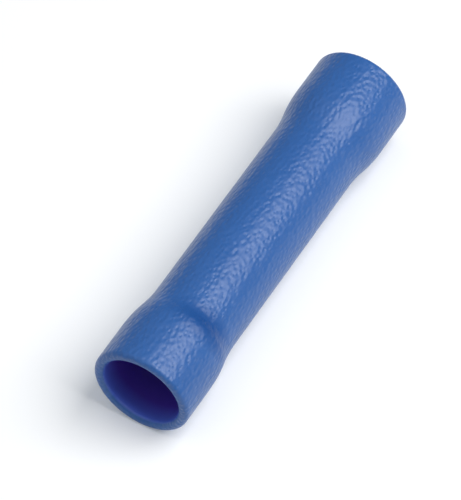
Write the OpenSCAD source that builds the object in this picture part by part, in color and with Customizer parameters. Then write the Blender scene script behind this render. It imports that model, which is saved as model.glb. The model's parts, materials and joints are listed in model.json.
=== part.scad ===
// Insulated butt splice connector of the blue size class, for wire of 1.5 to 2.5 square millimetres.
// A tinned copper crimp barrel sits in the neck of a vinyl sleeve that is belled at both ends.
// One stripped wire goes in at each end, up to the stop in the middle, and the barrel is crimped on it.
// Millimetres. The splice lies on its side: X runs along the wires and Z points up.
// The origin is on the ground under the middle of the splice.

/* [Barrel] */
// Length of the crimp barrel
barrel_length = 15; // [10:0.5:20]
// Outside diameter of the crimp barrel
barrel_diameter = 4; // [3.6:0.05:4.3]
// Bore of the crimp barrel, which takes the bare wire
barrel_bore = 2.3; // [1.8:0.05:2.8]
// Chamfer on the outer edge of each barrel end
barrel_chamfer = 0.15; // [0.05:0.01:0.25]
// Countersink of the bore at each barrel end, which leads the strands in
bore_countersink = 0.25; // [0.1:0.01:0.35]
// Gap of the butted seam, where the rolled-up strip closes
seam_gap = 0.06; // [0.02:0.01:0.2]

/* [Wire stop] */
// Height of the rolled-in stop, from the wall of the bore to its crest
stop_height = 0.4; // [0.2:0.02:0.6]
// Nose radius of the wheel that rolls the stop in
stop_wheel_radius = 0.3; // [0.2:0.02:0.6]

/* [Serrations] */
// Number of serration grooves in each half of the bore
serration_count = 3; // [1:1:4]
// Distance from one serration groove to the next
serration_pitch = 1.4; // [0.6:0.1:1.8]
// Width of a serration groove at the wall of the bore
serration_width = 0.3; // [0.1:0.02:0.4]
// Depth of a serration groove
serration_depth = 0.1; // [0.04:0.01:0.2]

/* [Sleeve] */
// Wall thickness of the sleeve
sleeve_wall = 0.62; // [0.6:0.02:0.9]
// Bore of the belled mouths, which take the insulation of the wire
mouth_bore = 4.7; // [4.45:0.05:6]
// Distance from the rim of a mouth to the end of the barrel inside it
entry_depth = 5; // [4:0.1:8]
// Length of the smooth step from a bell down to the neck
step_length = 3.25; // [2:0.05:4]
// Length at each end of the barrel where the step has lifted the sleeve off it
lift_off = 1.05; // [0.2:0.05:2]
// Rounding of the inner and outer edges of the rims
rim_rounding = 0.29; // [0.05:0.01:0.29]
// Width of the small flat under each bell, where the soft sleeve has settled on the ground
rest_flat = 1.2; // [0.8:0.1:2]

/* [Fit] */
// Clearance all round between the barrel and the neck of the sleeve
fit_clearance = 0.02; // [0.01:0.01:0.05]

/* [Hidden] */
$fn = 180;
vinyl_blue = [0.23, 0.40, 0.67];
tin_silver = [0.78, 0.78, 0.76];

// Barrel: half sizes, and the wall that the strip rolls up into
barrel_half = barrel_length / 2;
barrel_radius = barrel_diameter / 2;
bore_radius = barrel_bore / 2;
barrel_wall = barrel_radius - bore_radius;

// Wire stop: its groove and its crest are arcs around the nose of the wheel, one wall apart
wheel_centre = barrel_radius - stop_height + stop_wheel_radius;
crest_radius = stop_wheel_radius + barrel_wall;
stop_half_width = sqrt(pow(crest_radius, 2) - pow(crest_radius - stop_height, 2));

// Serrations: centred on the straight stretch between the stop and the countersink
serration_middle = (stop_half_width + barrel_half - bore_countersink) / 2;

// Sleeve: radii to the middle of the wall, and stations from the middle of the splice to a rim
sleeve_half = barrel_half + entry_depth;
neck_radius = barrel_radius + fit_clearance + sleeve_wall / 2;
bell_radius = mouth_bore / 2 + sleeve_wall / 2;
neck_half = barrel_half - lift_off;
bell_start = neck_half + step_length;
outer_radius = bell_radius + sleeve_wall / 2;
ground_to_axis = sqrt(pow(outer_radius, 2) - pow(rest_flat / 2, 2));

// Step: two equal arcs that meet at a tangent, halfway from the neck to the bell
step_rise = bell_radius - neck_radius;
step_radius = (pow(step_length, 2) + pow(step_rise, 2)) / (4 * step_rise);
step_angle = 2 * atan(step_rise / step_length);
neck_bend = [neck_radius + step_radius, neck_half];
bell_bend = [bell_radius - step_radius, bell_start];

// Greatest distance between an arc of the sleeve's outline and its chords
arc_sag = 0.001;

// Turns a section, drawn as radius against station, around the wire's line
module turned() {
    rotate_extrude()
        children();
}

// Lays a solid that was turned around Z on the ground, along X
module laid_down() {
    translate([0, 0, ground_to_axis])
        rotate([0, 90, 0])
            children();
}

// Repeats a section's end at its other end
module both_ends() {
    for (end = [0, 1])
        mirror([0, end])
            children();
}

// Points along an arc, close enough together that no chord leaves it by more than arc_sag.
// An arc that goes on from another one starts at its second point.
function arc(centre, radius, from, to, goes_on = false) =
    let (chords = ceil(abs(to - from) / (2 * acos(1 - arc_sag / radius))))
    [for (i = [goes_on ? 1 : 0 : chords])
        let (angle = from + (to - from) * i / chords)
        centre + radius * [cos(angle), sin(angle)]];

// The step's two bends, on a surface that lies off the middle of the wall, from the neck to the bell
function step_edge(off) = concat(
    arc(neck_bend, step_radius - off, 180, 180 - step_angle),
    arc(bell_bend, step_radius + off, -step_angle, 0, goes_on = true));

// The rim's two rounded edges, from the outside to the inside
function rim_edge() = let (flat = sleeve_wall / 2 - rim_rounding) concat(
    arc([bell_radius + flat, sleeve_half - rim_rounding], rim_rounding, 0, 90),
    arc([bell_radius - flat, sleeve_half - rim_rounding], rim_rounding, 90, 180));

function reversed(points) = [for (i = [len(points) - 1 : -1 : 0]) points[i]];

function mirrored(points) = [for (p = points) [p.x, -p.y]];

// One outline: out along the outer surface, over the rim, back along the inner one, and the same mirrored
module sleeve_section() {
    end = concat(step_edge(sleeve_wall / 2), rim_edge(), reversed(step_edge(-sleeve_wall / 2)));
    polygon(concat(end, reversed(mirrored(end))));
}

// A cut of 45 degrees over a corner, or with its own depth a V-groove in a wall
module v_cut(depth, half_width) {
    polygon([[depth, 0], [0, half_width], [-depth, 0], [0, -half_width]]);
}

// The strip's wall, pushed in at mid-length to make the stop
module barrel_wall_section() {
    difference() {
        union() {
            translate([bore_radius, -barrel_half])
                square([barrel_wall, barrel_length]);
            intersection() {
                translate([wheel_centre, 0])
                    circle(crest_radius);
                translate([0, -crest_radius])
                    square([bore_radius + barrel_wall / 2, 2 * crest_radius]);
            }
        }
        translate([wheel_centre, 0])
            circle(stop_wheel_radius);
    }
}

module barrel_section() {
    difference() {
        barrel_wall_section();
        both_ends() {
            translate([barrel_radius, barrel_half])
                v_cut(barrel_chamfer, barrel_chamfer);
            translate([bore_radius, barrel_half])
                v_cut(bore_countersink, bore_countersink);
            for (i = [0 : serration_count - 1])
                translate([bore_radius, serration_middle + (i - (serration_count - 1) / 2) * serration_pitch])
                    v_cut(serration_depth, serration_width / 2);
        }
    }
}

// The slit between the strip's two edges, on top once the barrel lies down
module seam_slit() {
    translate([-barrel_diameter, -seam_gap / 2, -barrel_length])
        cube([barrel_diameter, seam_gap, 2 * barrel_length]);
}

// All that lies under the ground, with room to spare around the sleeve
module underground() {
    translate([-2 * sleeve_half, -2 * outer_radius, -outer_radius])
        cube([4 * sleeve_half, 4 * outer_radius, outer_radius]);
}

module insulating_sleeve() {
    color(vinyl_blue)
        difference() {
            laid_down()
                turned()
                    sleeve_section();
            underground();
        }
}

module crimp_barrel() {
    color(tin_silver)
        laid_down()
            difference() {
                turned()
                    barrel_section();
                seam_slit();
            }
}

insulating_sleeve();
crimp_barrel();
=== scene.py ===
# %% [markdown]
# # A blue butt splice, dressed for its photograph
#
# A butt splice joins two wires end to end. It is two pieces: a blue vinyl sleeve that is belled at both
# ends, and a tinned copper barrel inside the sleeve's neck, which a plier crimps onto the wires.
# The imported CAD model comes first, as a fixed frame in metres. Every size that the frame knows is read
# from it, so the pieces made here land where the solids are.

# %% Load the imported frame
import json
import math

import bmesh
import bpy
from mathutils import Matrix, Vector, noise


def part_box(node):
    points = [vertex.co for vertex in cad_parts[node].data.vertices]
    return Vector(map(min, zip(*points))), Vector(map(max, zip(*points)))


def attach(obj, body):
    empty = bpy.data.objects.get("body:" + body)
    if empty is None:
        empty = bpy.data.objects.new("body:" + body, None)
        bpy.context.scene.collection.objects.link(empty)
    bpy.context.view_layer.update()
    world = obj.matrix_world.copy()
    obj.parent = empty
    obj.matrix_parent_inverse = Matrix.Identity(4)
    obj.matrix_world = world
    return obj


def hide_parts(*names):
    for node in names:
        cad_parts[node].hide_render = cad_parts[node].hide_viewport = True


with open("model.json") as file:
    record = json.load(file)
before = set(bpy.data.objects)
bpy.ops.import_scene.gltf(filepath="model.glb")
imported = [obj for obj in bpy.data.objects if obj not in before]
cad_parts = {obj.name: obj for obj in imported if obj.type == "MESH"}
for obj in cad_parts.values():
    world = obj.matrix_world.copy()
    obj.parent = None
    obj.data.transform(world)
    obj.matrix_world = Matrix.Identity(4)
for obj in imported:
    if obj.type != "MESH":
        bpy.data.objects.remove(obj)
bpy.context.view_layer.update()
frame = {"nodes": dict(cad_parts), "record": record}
scene = bpy.context.scene
scene.view_settings.view_transform = "Standard"
MM = 0.001
print("nodes:", sorted(frame["nodes"]))

# %% [markdown]
# ## Sizes that the frame gives
#
# The two solids' boxes give the lengths and the outside radii. The record's mounts are the holes that a
# wire goes into, so they give the bores, the height of the wire's line over the ground, and the stations
# where a bore starts and ends. A station is a distance along X from the middle of the splice.

# %% Read the sleeve and the barrel
sleeve_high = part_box("insulating_sleeve")[1]
barrel_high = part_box("crimp_barrel")[1]
mounts = {mount["name"]: mount for mount in frame["record"]["mounts"]}
mouth = mounts["right_insulation_mouth"]
wire_bore = mounts["right_conductor_bore"]
wire_height = mouth["pos_m"][2]


def bore_span(mount):
    """The stations where a mount's bore starts and ends, on the right half."""
    half_length = mount["dims"]["length_mm"] * MM / 2
    return mount["pos_m"][0] - half_length, mount["pos_m"][0] + half_length


rim_station = sleeve_high.x
bell_outside = sleeve_high.y
bell_inside = mouth["dims"]["r_mm"] * MM
sleeve_wall = bell_outside - bell_inside
bell_station, rim_rounding_station = bore_span(mouth)
barrel_end = barrel_high.x
barrel_outside = barrel_high.y
barrel_inside = wire_bore["dims"]["r_mm"] * MM
stop_foot, countersink_station = bore_span(wire_bore)
print("sleeve %.2f mm long, wall %.2f mm" % (2 * rim_station / MM, sleeve_wall / MM))
print("barrel %.2f mm long, bore %.2f mm" % (2 * barrel_end / MM, 2 * barrel_inside / MM))

# %% [markdown]
# ## The camera
#
# The photograph was taken from high up and from far away, with the open mouth towards the viewer. A long
# lens at a distance gives the same weak perspective: the far bell is only a little narrower than the near
# one. Azimuth, elevation and distance were fitted to the outline of the sleeve, and the camera looks at a
# point beside the middle of the splice, so that no lens shift is needed.

# %% Place the camera
CAMERA_AZIMUTH = math.radians(-59.93)
CAMERA_ELEVATION = math.radians(51.93)
CAMERA_DISTANCE = 240.69 * MM
LENS = 310.3
AIM_ALONG = -1.149 * MM
AIM_ASIDE = 0.860 * MM
AIM_BELOW = 0.441 * MM

towards_camera = Vector((
    math.sin(CAMERA_AZIMUTH) * math.cos(CAMERA_ELEVATION),
    -math.cos(CAMERA_AZIMUTH) * math.cos(CAMERA_ELEVATION),
    math.sin(CAMERA_ELEVATION)))
looked_at = Vector((AIM_ALONG, AIM_ASIDE, wire_height - AIM_BELOW))
camera_data = bpy.data.cameras.new("camera")
camera_data.lens = LENS
camera = bpy.data.objects.new("camera", camera_data)
camera.location = looked_at + towards_camera * CAMERA_DISTANCE
camera.rotation_euler = (-towards_camera).to_track_quat("-Z", "Y").to_euler()
scene.collection.objects.link(camera)
scene.camera = camera
print("camera %.1f mm away" % (CAMERA_DISTANCE / MM))

# %% [markdown]
# ## A pen for wall outlines
#
# Both pieces are round about the wire's line, so each is drawn as the outline of its wall and then spun.
# An outline could be a list of points, but then every arc has to be worked out by hand. Here a single
# vertex is the pen instead: extruding it draws a straight stretch, and spinning it draws an arc. The pen
# moves in the plane above the wire's line, by station and by distance from that line.


# %% Draw with one vertex
def at(station, radius):
    """The point at a station along the wire's line and a distance above that line."""
    return Vector((station, 0, wire_height + radius))


def draw_line(outline, pen, station, radius, longest=None):
    """Extrudes the pen's vertex to a new point, in equal strokes that are no longer than asked."""
    way = at(station, radius) - pen.co
    strokes = math.ceil(way.length / longest) if longest else 1
    for _ in range(strokes):
        pen = bmesh.ops.extrude_vert_indiv(outline, verts=[pen])["verts"][0]
        bmesh.ops.translate(outline, verts=[pen], vec=way / strokes)
    return pen


def draw_arc(outline, pen, station, radius, angle, steps):
    """Spins the pen's vertex around a point, clockwise as seen with X to the right and Z up."""
    drawn = bmesh.ops.spin(outline, geom=[pen], cent=at(station, radius), axis=(0, 1, 0),
                           angle=angle, steps=steps)
    return next(part for part in drawn["geom_last"] if isinstance(part, bmesh.types.BMVert))


# %% [markdown]
# The splice is the same to the left and to the right, so only the right half of an outline is drawn, and a
# mirror gives the rest. Points that then lie in the same place are merged, so that the wall is closed.

# %% Mirror, spin and finish
MERGE_DISTANCE = 1e-4 * MM


def mirror_outline(outline):
    """Repeats the right half of an outline on the left, joined at the middle station."""
    half = outline.verts[:] + outline.edges[:]
    bmesh.ops.mirror(outline, geom=half, matrix=Matrix.Identity(4), merge_dist=MERGE_DISTANCE, axis="X")
    bmesh.ops.remove_doubles(outline, verts=outline.verts[:], dist=MERGE_DISTANCE)


def spin_outline(outline, steps, closed):
    """Spins an outline once around the wire's line, and returns its last copy."""
    spun = bmesh.ops.spin(outline, geom=outline.verts[:] + outline.edges[:], cent=at(0, 0),
                          axis=(1, 0, 0), angle=2 * math.pi, steps=steps, use_merge=closed)
    return spun["geom_last"]


def make_piece(name, mesh_builder):
    """Turns a finished bmesh into a smooth-shaded object at the origin."""
    for face in mesh_builder.faces:
        face.smooth = True
    mesh = bpy.data.meshes.new(name)
    mesh_builder.to_mesh(mesh)
    mesh_builder.free()
    piece = bpy.data.objects.new(name, mesh)
    scene.collection.objects.link(piece)
    print("%s: %d faces" % (name, len(mesh.polygons)))
    return piece


# %% [markdown]
# ## The vinyl sleeve
#
# The real sleeve is a length of extruded tube. A warm mandrel pushed into each end bells it out, so the
# wall keeps its thickness while it steps from the neck up to the bell through two easy bends. The cut ends
# are soft-edged. A subdivision surface over a coarse tube would give a similar step, but its bends would
# wander from the measured ones. The pen draws them exactly, as two equal arcs that meet at a tangent: the
# length and the rise of the step give their angle and their radius.

# %% Work out the step
FIT_CLEARANCE = 0.02 * MM
LIFT_OFF = 1.05 * MM

neck_inside = barrel_outside + FIT_CLEARANCE
neck_outside = neck_inside + sleeve_wall
neck_station = barrel_end - LIFT_OFF
step_length = bell_station - neck_station
step_rise = bell_outside - neck_outside
step_angle = 2 * math.atan(step_rise / step_length)
bend_radius = (step_length ** 2 + step_rise ** 2) / (4 * step_rise)
neck_bend = neck_inside + sleeve_wall / 2 + bend_radius
bell_bend = bell_inside + sleeve_wall / 2 - bend_radius
print("step of %.1f degrees, bends of %.2f mm" % (math.degrees(step_angle), bend_radius / MM))

# %% [markdown]
# The pen starts in the middle of the neck, on the outside. It goes over the step and along the bell, around
# the rim, and back along the inside, where the arcs of the step are drawn the other way. Its strokes are
# short, so that the wall can take faint marks later.

# %% Draw the wall of the sleeve
STROKE = 0.25 * MM
BEND_STEPS = 26
INSIDE_BEND_STEPS = 10
RIM_STEPS = 6

rim_rounding = rim_station - rim_rounding_station
wall = bmesh.new()
pen = wall.verts.new(at(0, neck_outside))
pen = draw_line(wall, pen, neck_station, neck_outside, STROKE)
pen = draw_arc(wall, pen, neck_station, neck_bend, -step_angle, BEND_STEPS)
pen = draw_arc(wall, pen, bell_station, bell_bend, step_angle, BEND_STEPS)
pen = draw_line(wall, pen, rim_rounding_station, bell_outside, STROKE)
pen = draw_arc(wall, pen, rim_rounding_station, bell_outside - rim_rounding, math.pi / 2, RIM_STEPS)
pen = draw_line(wall, pen, rim_station, bell_inside + rim_rounding, STROKE / 2)
pen = draw_arc(wall, pen, rim_rounding_station, bell_inside + rim_rounding, math.pi / 2, RIM_STEPS)
pen = draw_line(wall, pen, bell_station, bell_inside, STROKE)
pen = draw_arc(wall, pen, bell_station, bell_bend, -step_angle, INSIDE_BEND_STEPS)
pen = draw_arc(wall, pen, neck_station, neck_bend, step_angle, INSIDE_BEND_STEPS)
draw_line(wall, pen, 0, neck_inside, STROKE)
mirror_outline(wall)
print("sleeve outline: %d points" % len(wall.verts))

# %% [markdown]
# The outline is spun once around, with the last copy merged into the first. Vinyl that was formed warm is
# never quite true, so the outside gets two faint marks. One is a wave, a few thousandths of a millimetre
# deep, that lets the highlight wander. The other is a crease halfway down the near step, where the shoulder
# of the mandrel stopped: the wall is pushed in on its neck side and out on its bell side, so the step is
# steeper there. The crease is sharpest on the upper side and fades out down the flanks. Last, the soft
# sleeve settles: what the spin left under the ground is raised to it, which makes the small flat that the
# splice lies on.

# %% Spin the sleeve and let it settle
SLEEVE_STEPS = 144
WAVE_DEPTH = 0.008 * MM
WAVE_LENGTH = 2.6 * MM
CREASE_DEPTH = 0.13 * MM
CREASE_WIDTH = 0.42 * MM
CREASE_LEAN = math.radians(38)
CREASE_FADE = 3

crease_station = (neck_station + bell_station) / 2
crease_side = Vector((0, -math.sin(CREASE_LEAN), math.cos(CREASE_LEAN)))
spin_outline(wall, SLEEVE_STEPS, closed=True)
bmesh.ops.remove_doubles(wall, verts=wall.verts[:], dist=MERGE_DISTANCE)
bmesh.ops.recalc_face_normals(wall, faces=wall.faces[:])
wall.normal_update()
for vert in wall.verts:
    outwards = Vector((0, vert.co.y, vert.co.z - wire_height)).normalized()
    facing = max(0.0, outwards.dot(vert.normal))
    wave = (1 + noise.noise(vert.co / WAVE_LENGTH)) / 2
    reach = (vert.co.x + crease_station) / CREASE_WIDTH
    crease = reach * math.exp(-reach ** 2 / 2) * max(0.0, outwards.dot(crease_side)) ** CREASE_FADE
    vert.co -= outwards * facing * (WAVE_DEPTH * wave + CREASE_DEPTH * crease)
    vert.co.z = max(vert.co.z, 0.0)
sleeve = make_piece("vinyl_sleeve", wall)

# %% [markdown]
# ## The tinned barrel
#
# The barrel is rolled up from copper strip and tinned. Its two edges butt together in a seam on top. A
# wheel has rolled a groove into its middle, which stands out inside as the stop that the wires reach.
# Fine V-grooves in the bore grip the strands, and both ends are chamfered. It shows only when one looks
# straight into a mouth, but from there the bright ring and the grooves are what one sees. A plain tube with
# a ring in it would leave them out, so the pen draws this wall too. The groove outside and the crest inside
# are arcs around the wheel's centre, a wall's thickness apart.

# %% Work out the stop
WHEEL_RADIUS = 0.3 * MM
STOP_HEIGHT = 0.4 * MM

wheel_height = barrel_outside - STOP_HEIGHT + WHEEL_RADIUS
groove_turn = math.pi - math.acos((barrel_outside - wheel_height) / WHEEL_RADIUS)
crest_radius = wheel_height - (barrel_inside - STOP_HEIGHT)
crest_turn = math.acos((wheel_height - barrel_inside) / crest_radius)
crest_foot = crest_radius * math.sin(crest_turn)
print("stop %.2f mm high, %.2f mm wide at its foot" % (STOP_HEIGHT / MM, 2 * crest_foot / MM))

# %% [markdown]
# This time the pen starts at the bottom of the groove that the wheel rolled. It goes along the outside,
# over the chamfer and the countersink of the end, and back through the bore, with a V for each fine groove.

# %% Draw the wall of the barrel
STOP_STEPS = 10
END_CHAMFER = 0.15 * MM
GROOVE_COUNT = 3
GROOVE_PITCH = 1.4 * MM
GROOVE_HALF_WIDTH = 0.15 * MM
GROOVE_DEPTH = 0.1 * MM

countersink = barrel_end - countersink_station
first_groove = (stop_foot + countersink_station) / 2 + (GROOVE_COUNT - 1) / 2 * GROOVE_PITCH
strip = bmesh.new()
pen = strip.verts.new(at(0, barrel_outside - STOP_HEIGHT))
pen = draw_arc(strip, pen, 0, wheel_height, -groove_turn, STOP_STEPS)
pen = draw_line(strip, pen, barrel_end - END_CHAMFER, barrel_outside)
pen = draw_line(strip, pen, barrel_end, barrel_outside - END_CHAMFER)
pen = draw_line(strip, pen, barrel_end, barrel_inside + countersink)
pen = draw_line(strip, pen, countersink_station, barrel_inside)
for groove in range(GROOVE_COUNT):
    groove_station = first_groove - groove * GROOVE_PITCH
    pen = draw_line(strip, pen, groove_station + GROOVE_HALF_WIDTH, barrel_inside)
    pen = draw_line(strip, pen, groove_station, barrel_inside + GROOVE_DEPTH)
    pen = draw_line(strip, pen, groove_station - GROOVE_HALF_WIDTH, barrel_inside)
pen = draw_line(strip, pen, crest_foot, barrel_inside)
draw_arc(strip, pen, 0, wheel_height, crest_turn, STOP_STEPS)
mirror_outline(strip)
print("barrel outline: %d points" % len(strip.verts))

# %% [markdown]
# A full spin that isn't merged leaves its first and last copies in the same place, on top. Moving one copy
# each way opens the seam with parallel edges, and filling the two open loops gives the strip its cut ends.
# The first face tells on which side of the seam the spin began.

# %% Roll the strip up
BARREL_STEPS = 96
SEAM_GAP = 0.06 * MM
SHARP_ANGLE = math.radians(30)

first_edge = strip.verts[:]
last_edge = [part for part in spin_outline(strip, BARREL_STEPS, closed=False)
             if isinstance(part, bmesh.types.BMVert)]
bmesh.ops.recalc_face_normals(strip, faces=strip.faces[:])
side = 1 if strip.faces[0].calc_center_median().y > 0 else -1
bmesh.ops.translate(strip, verts=first_edge, vec=(0, side * SEAM_GAP / 2, 0))
bmesh.ops.translate(strip, verts=last_edge, vec=(0, -side * SEAM_GAP / 2, 0))
open_loops = [edge for edge in strip.edges if edge.is_boundary]
bmesh.ops.holes_fill(strip, edges=open_loops, sides=0)
bmesh.ops.recalc_face_normals(strip, faces=strip.faces[:])
barrel = make_piece("tinned_barrel", strip)
barrel.data.set_sharp_from_angle(angle=SHARP_ANGLE)

# %% [markdown]
# ## Finishes
#
# A finish is a small tree of nodes. It could be wired by hand in the shader editor, but here it is written
# out, so that each value has a name. Three helpers keep the trees short: one starts a finish, one adds a
# node with its settings, and one carries a value from one range to another.


# %% Helpers that add nodes
def new_finish(name):
    """A material, its node tree and the shader in it."""
    finish = bpy.data.materials.new(name)
    finish.use_nodes = True
    return finish, finish.node_tree, finish.node_tree.nodes["Principled BSDF"]


def add(tree, kind, inputs=None, **settings):
    """Adds a node, with its settings and the values of its inputs by name or number."""
    node = tree.nodes.new(kind)
    for name, value in settings.items():
        setattr(node, name, value)
    for name, value in (inputs or {}).items():
        node.inputs[name].default_value = value
    return node


def ramp(tree, value, low, high, to_low=0.0, to_high=1.0):
    """Carries a value that runs from low to high over to another range, held at both ends."""
    node = add(tree, "ShaderNodeMapRange",
               {"From Min": low, "From Max": high, "To Min": to_low, "To Max": to_high})
    tree.links.new(value, node.inputs["Value"])
    return node.outputs["Result"]


# %% [markdown]
# Four more helpers work with places and colours. One lays a texture out by a place, one draws a place out
# along the wire's line, one measures a distance, and one blends two colours. The mix node has a set of
# sockets for each kind of value, so the ones for colours are found by number.

# %% Helpers for places and colours
MIX_FACTOR = 0
MIX_A = 6
MIX_B = 7
MIX_COLOUR = 2


def pattern(tree, kind, place, inputs, **settings):
    """Adds a texture that is laid out by a place."""
    texture = add(tree, kind, inputs, **settings)
    tree.links.new(place, texture.inputs["Vector"])
    return texture


def drawn_out(tree, place, scale):
    """A place with X scaled down, on which a texture is drawn out along the wire's line."""
    mapping = add(tree, "ShaderNodeMapping", {"Scale": (scale, 1, 1)})
    tree.links.new(place, mapping.inputs["Vector"])
    return mapping.outputs["Vector"]


def distance_from(tree, centre, place, weights):
    """How far a place is from a centre, with each axis weighed: a weight of 0 leaves an axis out."""
    away = add(tree, "ShaderNodeVectorMath", {1: centre}, operation="SUBTRACT")
    tree.links.new(place, away.inputs[0])
    weighed = add(tree, "ShaderNodeVectorMath", {1: weights}, operation="MULTIPLY")
    tree.links.new(away.outputs[0], weighed.inputs[0])
    length = add(tree, "ShaderNodeVectorMath", operation="LENGTH")
    tree.links.new(weighed.outputs[0], length.inputs[0])
    return length.outputs["Value"]


def mix_colours(tree, factor, first, second):
    """Blends from one colour to another by a factor socket. Either may be a colour or a socket."""
    mix = add(tree, "ShaderNodeMix", data_type="RGBA")
    tree.links.new(factor, mix.inputs[MIX_FACTOR])
    for slot, colour in ((MIX_A, first), (MIX_B, second)):
        if isinstance(colour, tuple):
            mix.inputs[slot].default_value = colour
        else:
            tree.links.new(colour, mix.inputs[slot])
    return mix.outputs[MIX_COLOUR]


# %% [markdown]
# ### Satin blue vinyl
#
# The outside is a clear mid blue with a satin gloss. Up close it has a fine grain that breaks the highlight
# up into specks. Inside, the blue is painted lighter than outside near the rim, as painted light, and turns
# to a deep violet within a millimetre and a half of the rim, as painted shade deeper in the bore. Each
# place could be a material of its own, with a hard edge. Distances tell them apart more softly: the one
# across the wire's line, because the bell's bore is narrower than the neck is outside, and the one along
# it, from the middle. A third distance finds the crease of the near step, where the blue is painted a
# deeper, duller shade and the gloss is lowered. It is taken from the crease's sharpest point and counts
# more along the wire's line, because a crease is narrow.

# %% Find the inside, the painted light and shade in the mouth and the painted crease shade
ACROSS = (0, 1, 1)
ALONG = (1, 0, 0)
INSIDE_EDGE = 0.08 * MM
MOUTH_LIGHT_DEPTH = 0.2 * MM
MOUTH_SHADE_DEPTH = 1.4 * MM
SHADE_HALF_LENGTH = 2.8 * MM
SHADE_HALF_WIDTH = 1.3 * MM
SHADE_CORE = 0.2

vinyl, tree, shader = new_finish("satin_vinyl")
place = add(tree, "ShaderNodeTexCoord").outputs["Object"]
from_line = distance_from(tree, at(0, 0), place, ACROSS)
outside = ramp(tree, from_line, bell_inside, bell_inside + INSIDE_EDGE)
from_middle = distance_from(tree, at(0, 0), place, ALONG)
# painted light and shade: 1 keeps the lighter blue near the rim, 0 the darker violet deeper in the mouth
painted_mouth_light = ramp(tree, from_middle, rim_station - MOUTH_SHADE_DEPTH, rim_station - MOUTH_LIGHT_DEPTH)
crease_top = at(-crease_station, 0) + crease_side * (neck_outside + bell_outside) / 2
narrowing = SHADE_HALF_LENGTH / SHADE_HALF_WIDTH
from_crease = distance_from(tree, crease_top, place, (narrowing, 1, 1))
# painted shade: a soft patch around the top of the near step's crease, which also lowers the gloss
painted_crease_shade = ramp(tree, from_crease, SHADE_HALF_LENGTH, SHADE_CORE * SHADE_HALF_LENGTH)
print("crease %.2f mm from the middle, %.2f mm up" % (crease_station / MM, crease_top.z / MM))

# %% [markdown]
# The blue of extruded vinyl is never quite even, so a slow noise mottles it by a few per cent. The blends
# then go from the general to the particular: the mottled blue, the painted shade of the crease in it, and
# last the painted light and shade of the inside.

# %% Colour the vinyl
OUTSIDE_BLUE = (0.029, 0.119, 0.365, 1)
OUTSIDE_BLUE_DEEP = (0.023, 0.101, 0.325, 1)
# painted shade of the crease
CREASE_SHADE_BLUE = (0.013, 0.070, 0.255, 1)
# painted light near the rim inside, then painted shade deeper in the mouth
MOUTH_LIT_BLUE = (0.082, 0.155, 0.640, 1)
MOUTH_SHADE_VIOLET = (0.078, 0.040, 0.380, 1)
MOTTLE_SIZE = 3 * MM
MOTTLE_DETAIL = 2

mottle = pattern(tree, "ShaderNodeTexNoise", place, {"Scale": 1 / MOTTLE_SIZE, "Detail": MOTTLE_DETAIL})
blue = mix_colours(tree, mottle.outputs["Fac"], OUTSIDE_BLUE_DEEP, OUTSIDE_BLUE)
# painted shade: the crease patch darkens the blue
blue = mix_colours(tree, painted_crease_shade, blue, CREASE_SHADE_BLUE)
# painted light near the rim and painted shade deeper in the mouth
inside = mix_colours(tree, painted_mouth_light, MOUTH_SHADE_VIOLET, MOUTH_LIT_BLUE)
tree.links.new(mix_colours(tree, outside, inside, blue), shader.inputs["Base Color"])
print("vinyl with its colours: %d nodes" % len(tree.nodes))

# %% [markdown]
# The grain is a pattern of small smooth cells, each a shallow dent about a fifth of a millimetre across and
# half as long again, because the tube is drawn out while it is warm. It works as a bump: real dents of that
# size would take millions of faces and look the same. A dent's floor is a little glossier than the ridges
# around it, the grain fades out on the smooth inside, and the gloss is lowered in the patch of painted
# crease shade.

# %% Give the vinyl its grain and its gloss
GRAIN_SIZE = 0.21 * MM
GRAIN_STRETCH = 0.65
GRAIN_SOFTNESS = 0.8
GRAIN_DEPTH = 0.048 * MM
INSIDE_GRAIN = 0.1
RIDGE_LEVEL = 0.6
DENT_ROUGHNESS = 0.30
RIDGE_ROUGHNESS = 0.38
GLOSS = 0.48
CREASE_GLOSS = 0.14

grain = pattern(tree, "ShaderNodeTexVoronoi", drawn_out(tree, place, GRAIN_STRETCH),
                {"Scale": 1 / GRAIN_SIZE, "Smoothness": GRAIN_SOFTNESS}, feature="SMOOTH_F1")
dent = grain.outputs["Distance"]
bump = add(tree, "ShaderNodeBump", {"Distance": GRAIN_DEPTH})
tree.links.new(dent, bump.inputs["Height"])
tree.links.new(ramp(tree, outside, 0, 1, INSIDE_GRAIN, 1), bump.inputs["Strength"])
tree.links.new(bump.outputs["Normal"], shader.inputs["Normal"])
roughness = ramp(tree, dent, 0, RIDGE_LEVEL, DENT_ROUGHNESS, RIDGE_ROUGHNESS)
tree.links.new(roughness, shader.inputs["Roughness"])
tree.links.new(ramp(tree, painted_crease_shade, 0, 1, GLOSS, CREASE_GLOSS), shader.inputs["Specular IOR Level"])
sleeve.data.materials.append(vinyl)
print("vinyl with its grain: %d nodes" % len(tree.nodes))

# %% [markdown]
# ### Tinned copper
#
# Tin plating is a soft, slightly warm silver. The strip was drawn and rolled lengthwise, so its fine lines
# run along the barrel. An anisotropic gloss could hint at them from afar, but up close the lines themselves
# show, so a noise that is stretched along X gives them as a bump. A second, slow noise clouds the gloss as
# handling does: the tin is paler where it is rougher.

# %% Make the tin
TIN_PALE = (0.66, 0.65, 0.62, 1)
TIN_DARK = (0.50, 0.49, 0.46, 1)
PALE_ROUGHNESS = 0.42
DARK_ROUGHNESS = 0.22
LINE_SPACING = 0.05 * MM
LINE_STRETCH = 0.03
LINE_STRENGTH = 0.25
LINE_DEPTH = 0.005 * MM
CLOUD_SIZE = 1.2 * MM
TIN_DETAIL = 3

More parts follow.
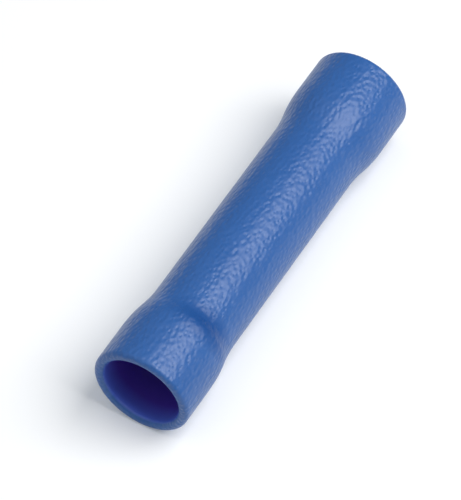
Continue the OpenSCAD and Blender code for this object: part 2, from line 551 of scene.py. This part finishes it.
tin, tree, shader = new_finish("tin_plating")
place = add(tree, "ShaderNodeTexCoord").outputs["Object"]
lines = pattern(tree, "ShaderNodeTexNoise", drawn_out(tree, place, LINE_STRETCH),
                {"Scale": 1 / LINE_SPACING, "Detail": TIN_DETAIL})
clouds = pattern(tree, "ShaderNodeTexNoise", place, {"Scale": 1 / CLOUD_SIZE, "Detail": TIN_DETAIL})
cloud = clouds.outputs["Fac"]
tree.links.new(mix_colours(tree, cloud, TIN_DARK, TIN_PALE), shader.inputs["Base Color"])
tree.links.new(ramp(tree, cloud, 0, 1, DARK_ROUGHNESS, PALE_ROUGHNESS), shader.inputs["Roughness"])
bump = add(tree, "ShaderNodeBump", {"Strength": LINE_STRENGTH, "Distance": LINE_DEPTH})
tree.links.new(lines.outputs["Fac"], bump.inputs["Height"])
tree.links.new(bump.outputs["Normal"], shader.inputs["Normal"])
shader.inputs["Metallic"].default_value = 1.0
barrel.data.materials.append(tin)
print("tin: %d nodes" % len(tree.nodes))

# %% [markdown]
# ## The white table and the light
#
# The splice was photographed on a white table that leaves no trace but a soft shadow. The floor is plain
# white under the lamps. To the camera, and in reflections, a little of its own light is added, which takes
# the lit floor to pure white and keeps the shadow. More light from the lamps would whiten the floor too,
# but it would bleach the splice. The shadow in the photograph is faintly blue, so the floor's own light is
# a little cooler than the lamps are.

# %% Lay the floor
FLOOR_HALF_SIZE = 1500 * MM
FLOOR_WHITE = (0.85, 0.85, 0.85, 1)
FLOOR_ROUGHNESS = 0.9
FLOOR_GLOSS = 0.0
FLOOR_LIFT = 0.16
COOL_WHITE = (0.88, 0.94, 1, 1)

floor_plane = bmesh.new()
bmesh.ops.create_grid(floor_plane, x_segments=1, y_segments=1, size=FLOOR_HALF_SIZE)
floor = make_piece("floor", floor_plane)
white, tree, shader = new_finish("white_table")
shader.inputs["Base Color"].default_value = FLOOR_WHITE
shader.inputs["Roughness"].default_value = FLOOR_ROUGHNESS
shader.inputs["Specular IOR Level"].default_value = FLOOR_GLOSS
shader.inputs["Emission Color"].default_value = COOL_WHITE
path = add(tree, "ShaderNodeLightPath")
seen = path.outputs["Is Camera Ray"]
for kind in ("Is Glossy Ray", "Is Transmission Ray"):
    either = add(tree, "ShaderNodeMath", operation="MAXIMUM")
    tree.links.new(seen, either.inputs[0])
    tree.links.new(path.outputs[kind], either.inputs[1])
    seen = either.outputs[0]
lift = add(tree, "ShaderNodeMath", {1: FLOOR_LIFT}, operation="MULTIPLY")
tree.links.new(seen, lift.inputs[0])
tree.links.new(lift.outputs[0], shader.inputs["Emission Strength"])
floor.data.materials.append(white)

# %% [markdown]
# The light comes from a large soft box that hangs overhead and leans to the right. It draws the wide, soft
# highlight along the sleeve and throws a soft shadow to the left, where a point lamp would give a small
# spot and a hard edge. Its far edge lies just where the sleeve mirrors it, so the bell at the near end and
# the far step shine, the near step stays dark, and the grain sparkles most towards the far end. A dim panel
# fills in from the near end and the left.


# %% Hang the lamps
def hang_lamp(name, lean, ahead, distance, length, width, radiance):
    """Hangs a soft lamp over the splice, which leans to the right and stands ahead along X, in degrees."""
    data = bpy.data.lights.new(name, "AREA")
    data.shape = "RECTANGLE"
    data.size = length
    data.size_y = width
    data.energy = radiance * math.pi * length * width
    lamp = bpy.data.objects.new(name, data)
    turn = Matrix.Rotation(math.radians(lean), 4, "X") @ Matrix.Rotation(math.radians(ahead), 4, "Y")
    lamp.matrix_world = Matrix.Translation(at(0, 0)) @ turn @ Matrix.Translation((0, 0, distance))
    scene.collection.objects.link(lamp)
    print("%s: %.0f mm away, %.3f W" % (name, distance / MM, data.energy))


hang_lamp("soft_box", lean=32, ahead=12, distance=180 * MM, length=156 * MM, width=150 * MM, radiance=5)
hang_lamp("panel", lean=-15, ahead=-10, distance=120 * MM, length=190 * MM, width=160 * MM, radiance=0.4)

# %% [markdown]
# The room is brighter on the left and at the near end, where it lights the mouth, than on the right and
# beyond the far end. So the right flank and the near step, which lean that way, mirror little and stay a
# deep blue. Walls around the table could do this, but a ramp in the world's light is simpler. It runs along
# a level direction from bright to dark, and its light is as cool as the floor's own.

# %% Light the room
BRIGHT_LEVEL = 0.40
DARK_LEVEL = 0.05
TOWARDS_DARK = (0.8, -0.6, 0)
RAMP_REACH = 0.7

world = bpy.data.worlds.new("studio")
world.use_nodes = True
tree = world.node_tree
darkness = add(tree, "ShaderNodeVectorMath", {1: TOWARDS_DARK}, operation="DOT_PRODUCT")
tree.links.new(add(tree, "ShaderNodeTexCoord").outputs["Generated"], darkness.inputs[0])
level = ramp(tree, darkness.outputs["Value"], -RAMP_REACH, RAMP_REACH, BRIGHT_LEVEL, DARK_LEVEL)
background = tree.nodes["Background"]
background.inputs["Color"].default_value = COOL_WHITE
tree.links.new(level, background.inputs["Strength"])
scene.world = world
print("room light from %.2f down to %.2f" % (BRIGHT_LEVEL, DARK_LEVEL))

# %% [markdown]
# ## Tie the pieces to the frame
#
# Both pieces ride on the part's one body and stand for their solids, which are hidden. The slot in the
# record's materials that each finish belongs to is only printed.

# %% Ride, hide the solids and print the slots
pieces = ((sleeve, "insulating_sleeve", "vinyl"), (barrel, "crimp_barrel", "tinned_copper"))
for piece, node, slot in pieces:
    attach(piece, "root")
    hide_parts(node)
    print("%s stands for %s, in %s" % (piece.name, node, slot))
